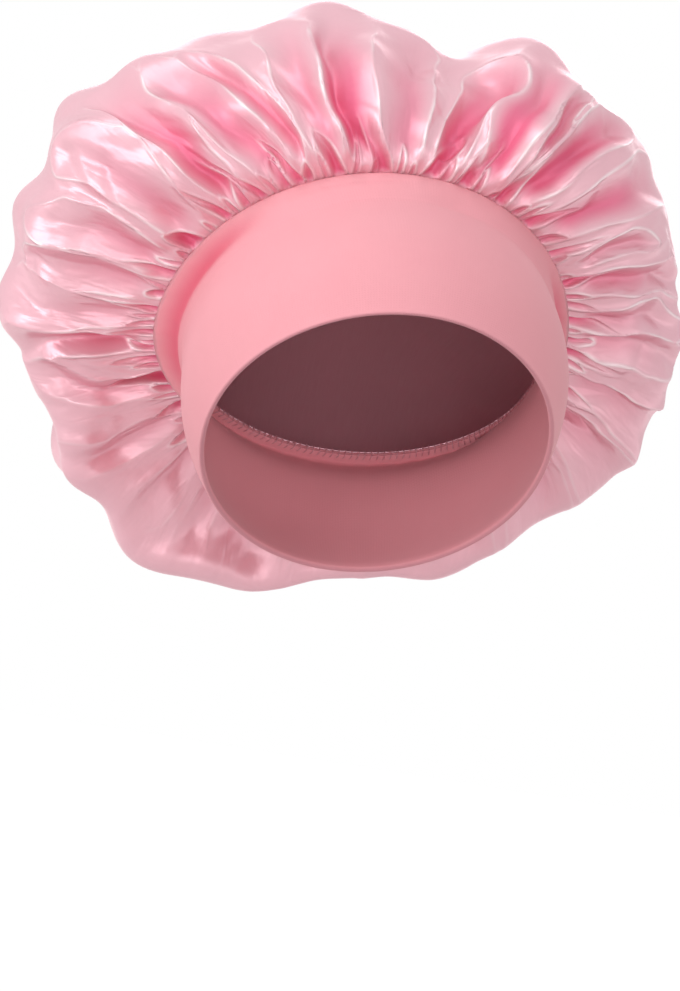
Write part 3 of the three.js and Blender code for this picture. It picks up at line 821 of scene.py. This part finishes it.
satin_edges = node(satin, "ShaderNodeMath", {"operation": "MAXIMUM"},
                   {0: crest_lines("main").outputs[0], 1: crest_lines("pleat").outputs[0]})
satin_weave = node(satin, "ShaderNodeBump", {"Strength": 0.05, "Distance": 0.0002},
                   {"Height": satin_streak.outputs["Fac"]})
satin_crumple = node(satin, "ShaderNodeTexNoise", {"Scale": 1 / CRUMPLE_SIZE, "Detail": 2.0},
                     {"Vector": satin_flat.outputs[0]})
satin_ripple = node(satin, "ShaderNodeBump", {"Strength": 0.25, "Distance": 0.002},
                    {"Height": satin_crumple.outputs["Fac"], "Normal": satin_weave.outputs[0]})
satin_heading = node(satin, "ShaderNodeVectorMath", {"operation": "NORMALIZE"}, {0: satin_flat.outputs[0]})
satin_spread = node(satin, "ShaderNodeVectorMath", {
    "operation": "SCALE", "Scale": WRINKLES_ROUND / (2 * math.pi),
}, {0: satin_heading.outputs[0]})
satin_radius = node(satin, "ShaderNodeVectorMath", {"operation": "LENGTH"}, {0: satin_flat.outputs[0]})
satin_length = node(satin, "ShaderNodeMath", {"operation": "MULTIPLY", 1: 1 / WRINKLE_LENGTH},
                    {0: satin_radius.outputs["Value"]})
satin_run = node(satin, "ShaderNodeCombineXYZ", {}, {"Z": satin_length.outputs[0]})
satin_path = node(satin, "ShaderNodeVectorMath", {"operation": "ADD"},
                  {0: satin_spread.outputs[0], 1: satin_run.outputs[0]})
satin_tension = node(satin, "ShaderNodeTexNoise", {"Scale": 1.0, "Detail": 2.0, "Distortion": 0.4},
                     {"Vector": satin_path.outputs[0]})
satin_taut = node(satin, "ShaderNodeMapRange", {
    "From Min": 0.15, "From Max": 0.25, "To Min": 0.0, "To Max": 1.0,
}, {"Value": satin_radius.outputs["Value"]})
satin_drawn = node(satin, "ShaderNodeMath", {"operation": "MULTIPLY"},
                   {0: satin_tension.outputs["Fac"], 1: satin_taut.outputs[0]})
satin_wrinkle = node(satin, "ShaderNodeBump", {"Strength": 0.5, "Distance": 0.003},
                     {"Height": satin_drawn.outputs[0], "Normal": satin_ripple.outputs[0]})
satin_bump = node(satin, "ShaderNodeBump", {"Strength": 0.6, "Distance": 0.0006},
                  {"Height": satin_edges.outputs[0], "Normal": satin_wrinkle.outputs[0]})
# Colour: the hollows' painted shade of deeper pink, under a painted highlight line along the crests whose
# strength varies at random.
satin_crest_highlight = node(satin, "ShaderNodeMath", {"operation": "MULTIPLY"},
                   {0: satin_edges.outputs[0], 1: satin_highlight_strength.outputs[0]})
satin_hollow = node(satin, "ShaderNodeAttribute", {"attribute_name": "hollow"})
satin_hollow_shaded = node(satin, "ShaderNodeMix", {"data_type": "RGBA", 6: SATIN_PINK, 7: SATIN_HOLLOW_SHADE},
                   {0: satin_hollow.outputs["Fac"]})
satin_colour = node(satin, "ShaderNodeMix", {"data_type": "RGBA", 7: SATIN_CREST_HIGHLIGHT},
                    {0: satin_crest_highlight.outputs[0], 6: satin_hollow_shaded.outputs[2]})
satin_dull = node(satin, "ShaderNodeMath", {"operation": "MULTIPLY_ADD", 1: 0.22},
                  {0: satin_hollow.outputs["Fac"], 2: satin_gloss.outputs[0]})
satin_shader = node(satin, "ShaderNodeBsdfPrincipled", {
    "Metallic": 0.28, "IOR": 1.8, "Specular IOR Level": 0.5, "Specular Tint": SATIN_GLINT, "Anisotropic": 0.4,
    "Coat Weight": 0.05, "Coat Roughness": 0.2,
}, {
    "Base Color": satin_colour.outputs[2], "Roughness": satin_dull.outputs[0],
    "Normal": satin_bump.outputs[0], "Tangent": satin_way.outputs[0],
})
node(satin, "ShaderNodeOutputMaterial", {}, {"Surface": satin_shader.outputs[0]})

# The satin's reverse shows the dull sides of the floats: the same pink, matt and a little greyer.
reverse = new_material("satin_reverse")
reverse_streak = float_streaks(reverse)[1]
reverse_colour = node(reverse, "ShaderNodeMix", {"data_type": "RGBA", 6: REVERSE_PINK, 7: REVERSE_PALE},
                      {0: reverse_streak.outputs["Fac"]})
reverse_shader = node(reverse, "ShaderNodeBsdfPrincipled", {"Roughness": 0.7, "Specular IOR Level": 0.3},
                      {"Base Color": reverse_colour.outputs[2]})
node(reverse, "ShaderNodeOutputMaterial", {}, {"Surface": reverse_shader.outputs[0]})

# The mesh's columns follow the drift of the folds and lie closer together at the front.
# Its rings lie closest at the seam, and further out they have half and then a quarter as many points.
EDGE_TURN = 1.5
EDGE_LIFT = 0.6
DRIFT_END = 90
HALVED_FROM = 97
QUARTERED_FROM = 141
closeness = np.cumsum(1 / (1 + BACK_COARSER * ease(np.abs(angle_from(0)), 100, 175)))
seam_angles = np.interp(np.arange(COLUMNS) / COLUMNS, closeness / closeness[-1], field_degrees, period=1)
seam_angles = np.sort(seam_angles)
drift_at = np.interp(seam_angles, field_degrees, fold_drift, period=360)
row_distances = np.concatenate([
    np.linspace(0, 15.6, 14), np.linspace(17.6, 95.6, 40), np.linspace(99.6, 139.6, 11),
    np.linspace(146, APEX_DISTANCE, 20),
])


def sample(field, distance, angles):
    """Values of a field at one distance from the seam and many angles."""
    row = np.interp(distance, from_seam, np.arange(len(from_seam)))
    low = min(int(row), len(from_seam) - 2)
    near = field[low] * (1 - row + low) + field[low + 1] * (row - low)
    place = (angles % 360) * FIELD_COLUMNS / 360
    left = np.floor(place).astype(int) % FIELD_COLUMNS
    share = (place - np.floor(place)).reshape((-1,) + (1,) * (near.ndim - 1))
    return near[left] * (1 - share) + near[(left + 1) % FIELD_COLUMNS] * share


def cloth_mesh(name, rings, flat, shares):
    """A mesh through rings of points, each as many as the last or half as many, closed at the end."""
    starts = np.concatenate([[0], np.cumsum([len(ring) for ring in rings])])
    faces = []
    for lower in range(len(rings) - 1):
        a, b = starts[lower], starts[lower + 1]
        count, upper_count = len(rings[lower]), len(rings[lower + 1])
        if count == upper_count:
            faces += [(a + i, a + (i + 1) % count, b + (i + 1) % count, b + i) for i in range(count)]
        else:
            for i in range(upper_count):
                first, middle, last = a + 2 * i, a + 2 * i + 1, a + (2 * i + 2) % count
                near, far = b + i, b + (i + 1) % upper_count
                faces += [(first, middle, near), (middle, last, far), (middle, far, near)]
    pole, last = starts[-1], starts[-2]
    count = len(rings[-1])
    faces += [(last + i, last + (i + 1) % count, pole) for i in range(count)]
    points = np.concatenate(list(rings) + [rings[-1].mean(0, keepdims=True)])
    mesh = bpy.data.meshes.new(name)
    mesh.from_pydata(points.tolist(), [], faces)
    corner_points = np.empty(len(mesh.loops), np.int32)
    mesh.loops.foreach_get("vertex_index", corner_points)
    flat = np.concatenate(list(flat) + [np.zeros((1, 2))])
    mesh.uv_layers.new(name="cloth").data.foreach_set("uv", flat[corner_points].reshape(-1))
    mesh.polygons.foreach_set("use_smooth", np.ones(len(mesh.polygons), bool))
    for key, value in shares.items():
        value = np.append(np.concatenate(value), 0)
        mesh.attributes.new(key, "FLOAT", "POINT").data.foreach_set("value", value)
    mesh.update()
    return mesh


seam_turn = np.radians(seam_angles)


def turned_in(inset):
    ring = seam_ring(seam_turn) - outward(seam_turn) * inset
    return as_worn(np.concatenate([ring, (seam_height(seam_turn) + SEAM_LIFT * EDGE_LIFT)[:, None]], -1))


heading = np.stack([np.sin(seam_turn), -np.cos(seam_turn)], -1) / 1000
rings = [turned_in(SEAM_ALLOWANCE), turned_in(EDGE_TURN)]
flat_rings = [heading * CUT_RADIUS, heading * (CUT_RADIUS - SEAM_ALLOWANCE + EDGE_TURN)]
share_rings = {name: [np.zeros(len(seam_angles))] * 2 for name in shares}
for distance in row_distances:
    skip = 1 if distance < HALVED_FROM else 2 if distance < QUARTERED_FROM else 4
    angles = (seam_angles + drift_at * min(distance, DRIFT_END))[::skip]
    rings.append(as_worn(sample(draped, distance, angles)))
    flat_rings.append((heading * (CUT_RADIUS - SEAM_ALLOWANCE - distance))[::skip])
    for name in shares:
        share_rings[name].append(sample(shares[name], distance, angles))
crown_mesh = cloth_mesh("crown_satin", rings, flat_rings, share_rings)
crown = add_piece("crown_satin", crown_mesh, satin, reverse)
cloth = crown.modifiers.new("satin thickness", "SOLIDIFY")
cloth.thickness = SATIN_THICKNESS / 1000
cloth.offset = -1
cloth.material_offset = 1
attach(crown, "root")
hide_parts("crown_panel")

# Seam: a row of needle stitches holds the crown's turned-in edge to the band's two edges, inside the cap.
# Overlock loops of the same spun polyester thread wrap the three raw edges so that they don't fray.
NEEDLE_STITCHES = 200
NEEDLE_INSET = 3
NEEDLE_LENGTH = 2.6
NEEDLE_RISE = 0.5
OVERLOCK_LOOPS = 168
OVERLOCK_BITE = 3.4
OVERLOCK_HEIGHT = 3.2
OVERLOCK_PAST_EDGE = 0.5
OVERLOCK_DROP = 0.45
LOOP_SLANT = math.radians(18)
LOOP_ROUND = 0.0009

needle_turn = np.arange(NEEDLE_STITCHES) * 2 * np.pi / NEEDLE_STITCHES


def seam_places(turn, inset, height):
    """Points inside the seam ring, with the directions along the seam and up."""
    ring = seam_ring(turn) - outward(turn) * inset
    points = np.concatenate([ring, (seam_height(turn) + height)[:, None]], -1)
    run = np.roll(points, -1, axis=0) - np.roll(points, 1, axis=0)
    return points, run, np.tile([0.0, 0.0, 1.0], (len(turn), 1))


sew("needle_stitches", plain_stitch,
    {"Stitch Length": NEEDLE_LENGTH, "Stitch Rise": NEEDLE_RISE, "Thread Diameter": THREAD_DIAMETER},
    *seam_places(needle_turn, NEEDLE_INSET, SEAM_LIFT + SATIN_THICKNESS), "seam_needle_thread")

edge_loop, edge_sizes = stitch_tree("edge_loop", ("Loop Height", "Loop Bite", "Thread Diameter"))
loop_frame = node(edge_loop, "GeometryNodeCurvePrimitiveQuadrilateral", {},
                  {"Width": edge_sizes.outputs["Loop Height"], "Height": edge_sizes.outputs["Loop Bite"]})
loop_round = node(edge_loop, "GeometryNodeFilletCurve", {"mode": "POLY", "Count": 2, "Radius": LOOP_ROUND},
                  {"Curve": loop_frame.outputs["Curve"]})
loop_stand = node(edge_loop, "GeometryNodeTransform", {"Rotation": (0.0, math.radians(90), LOOP_SLANT)},
                  {"Geometry": loop_round.outputs["Curve"]})
lay_stitches(edge_loop, edge_sizes, loop_stand.outputs["Geometry"])
loop_turn = np.arange(OVERLOCK_LOOPS) * 2 * np.pi / OVERLOCK_LOOPS
loop_inset = SEAM_ALLOWANCE - OVERLOCK_BITE / 2 + OVERLOCK_PAST_EDGE
sew("overlock_loops", edge_loop,
    {"Loop Height": OVERLOCK_HEIGHT, "Loop Bite": OVERLOCK_BITE, "Thread Diameter": THREAD_DIAMETER},
    *seam_places(loop_turn, loop_inset, -OVERLOCK_DROP), "seam_overlock_thread")

# Stage: a plain white floor well below the cap and soft boxes, the brightest level with it on the left.
# The floor glows a little towards the camera so that it meets the white backdrop, and keeps its shadow.
FLOOR_DROP = 0.30
FLOOR_REACH = 8
FLOOR_WHITE = "#d8d4d3"
BACKDROP_LIGHT = 0.56
CAP_MIDDLE = Vector((0, 0.03, 0.05))
stage = new_material("white_floor")
stage_shader = node(stage, "ShaderNodeBsdfDiffuse", {"Color": FLOOR_WHITE})


def looked_at(owner):
    """One for rays that the camera sends out straight, by a mirror or through glass, and nought for light."""
    path = node(owner, "ShaderNodeLightPath", {})
    mirrored = node(owner, "ShaderNodeMath", {"operation": "ADD"},
                    {0: path.outputs["Is Camera Ray"], 1: path.outputs["Is Glossy Ray"]})
    return node(owner, "ShaderNodeMath", {"operation": "ADD", "use_clamp": True},
                {0: mirrored.outputs[0], 1: path.outputs["Is Transmission Ray"]})


stage_place = node(stage, "ShaderNodeTexCoord", {})
stage_reach = node(stage, "ShaderNodeVectorMath", {"operation": "LENGTH"}, {0: stage_place.outputs["Object"]})
stage_fade = node(stage, "ShaderNodeMapRange", {
    "From Min": 0.4, "From Max": 2.2, "To Min": 0.45, "To Max": 1.0,
}, {"Value": stage_reach.outputs["Value"]})
stage_glow = node(stage, "ShaderNodeEmission", {"Color": "#ffffff"}, {"Strength": stage_fade.outputs[0]})
stage_lit = node(stage, "ShaderNodeAddShader", {}, {0: stage_shader.outputs[0], 1: stage_glow.outputs[0]})
stage_mix = node(stage, "ShaderNodeMixShader", {}, {
    0: looked_at(stage).outputs[0], 1: stage_shader.outputs[0], 2: stage_lit.outputs[0],
})
node(stage, "ShaderNodeOutputMaterial", {}, {"Surface": stage_mix.outputs[0]})
floor_mesh = bpy.data.meshes.new("floor")
floor_corners = [
    (x * FLOOR_REACH, y * FLOOR_REACH, -FLOOR_DROP) for x, y in ((-1, -1), (1, -1), (1, 1), (-1, 1))
]
floor_mesh.from_pydata(floor_corners, [], [(0, 1, 2, 3)])
floor = add_piece("floor", floor_mesh, stage)


def soft_box(name, place, size, watts):
    """A rectangular soft box turned to the middle of the cap."""
    lamp_data = bpy.data.lights.new(name, "AREA")
    lamp_data.shape = "RECTANGLE"
    lamp_data.size, lamp_data.size_y = size
    lamp_data.energy = watts
    lamp = bpy.data.objects.new(name, lamp_data)
    lamp.location = place
    lamp.rotation_euler = (CAP_MIDDLE - Vector(place)).to_track_quat("-Z", "Y").to_euler()
    bpy.context.scene.collection.objects.link(lamp)


soft_box("left", (-1.7, -0.65, -0.05), (1.5, 0.85), 12)
soft_box("top", (-0.75, -0.6, 1.4), (1.4, 0.9), 8)
soft_box("front", (-0.2, -2.0, 0.1), (0.8, 0.8), 4.5)
soft_box("right", (1.5, -0.9, -0.05), (1.2, 0.8), 1.5)
soft_box("back", (0.5, 1.9, 0.9), (1.4, 1.0), 7)
world = bpy.data.worlds.new("studio")
world.use_nodes = True
bpy.context.scene.world = world
backdrop = world.node_tree.nodes["Background"]
backdrop.inputs["Color"].default_value = (1, 1, 1, 1)
level = node(world, "ShaderNodeMapRange", {"To Min": BACKDROP_LIGHT, "To Max": 1.0},
             {"Value": looked_at(world).outputs[0]})
world.node_tree.links.new(level.outputs[0], backdrop.inputs["Strength"])
bpy.context.scene.view_settings.view_transform = "Standard"
